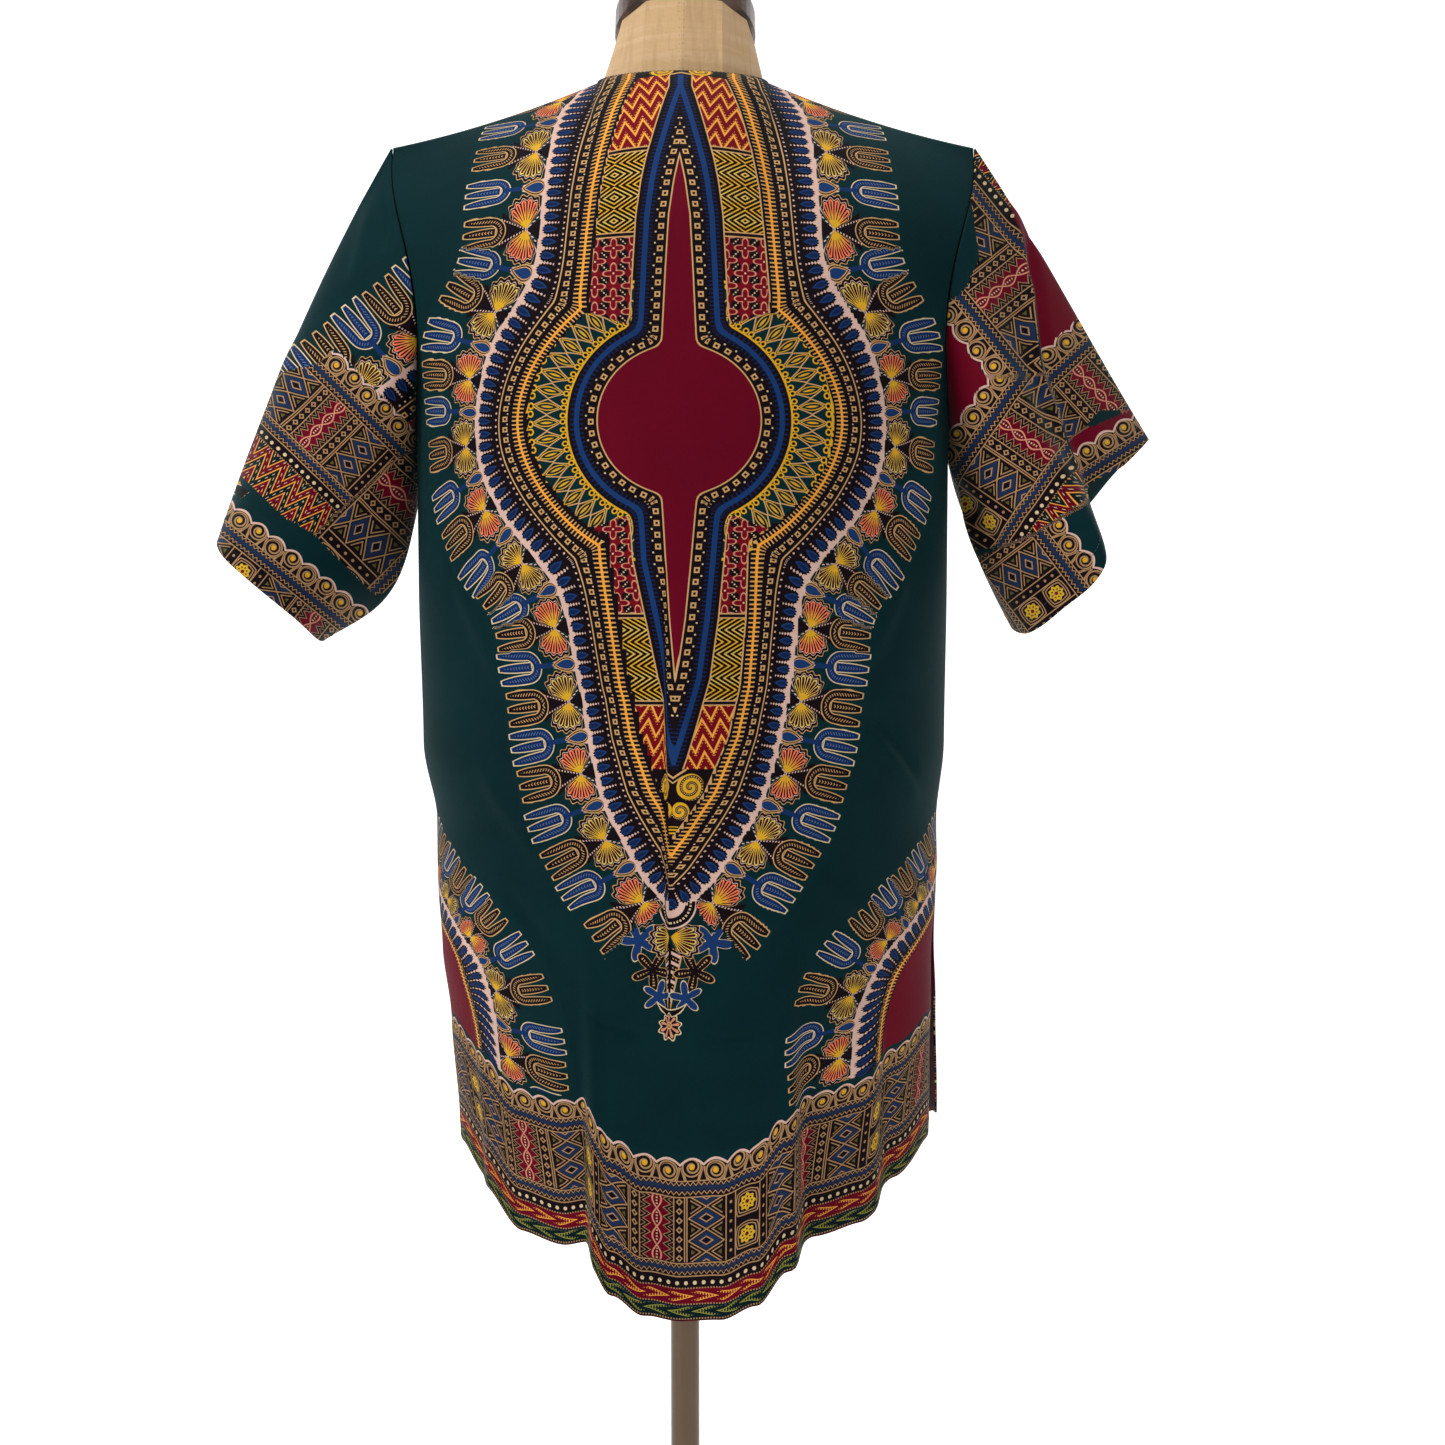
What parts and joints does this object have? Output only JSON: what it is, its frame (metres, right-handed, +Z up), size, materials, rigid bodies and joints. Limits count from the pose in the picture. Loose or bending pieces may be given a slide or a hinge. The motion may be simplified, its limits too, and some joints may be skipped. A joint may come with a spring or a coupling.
{
  "type": "dashiki shirt on a dress form",
  "caption": "Short-sleeved printed cotton dashiki shirt with a V-notched neck and side slits, hanging on a limbless dress form with a pole and a round base.",
  "frame": {"origin": "centre of the base's underside, on the floor", "axes": "+Z up along the pole; the shirt's back faces -Y and its V neck +Y, so +X is the wearer's right"},
  "size_m": [0.6698, 0.34, 1.4964],
  "materials": {
    "printed_cotton": "wax-printed plain-weave cotton",
    "linen_cover": "plain-weave linen",
    "dark_wood": "varnished",
    "brushed_steel": "brushed, dark",
    "painted_plate": "satin black"
  },
  "bodies": {
    "root": {"shirt_back": "printed_cotton", "shirt_front": "printed_cotton", "sleeve_left": "printed_cotton", "sleeve_right": "printed_cotton", "form_torso": "linen_cover", "form_neck_cap": "dark_wood", "form_pole": "brushed_steel", "form_base": "painted_plate"}
  },
  "joints": []
}
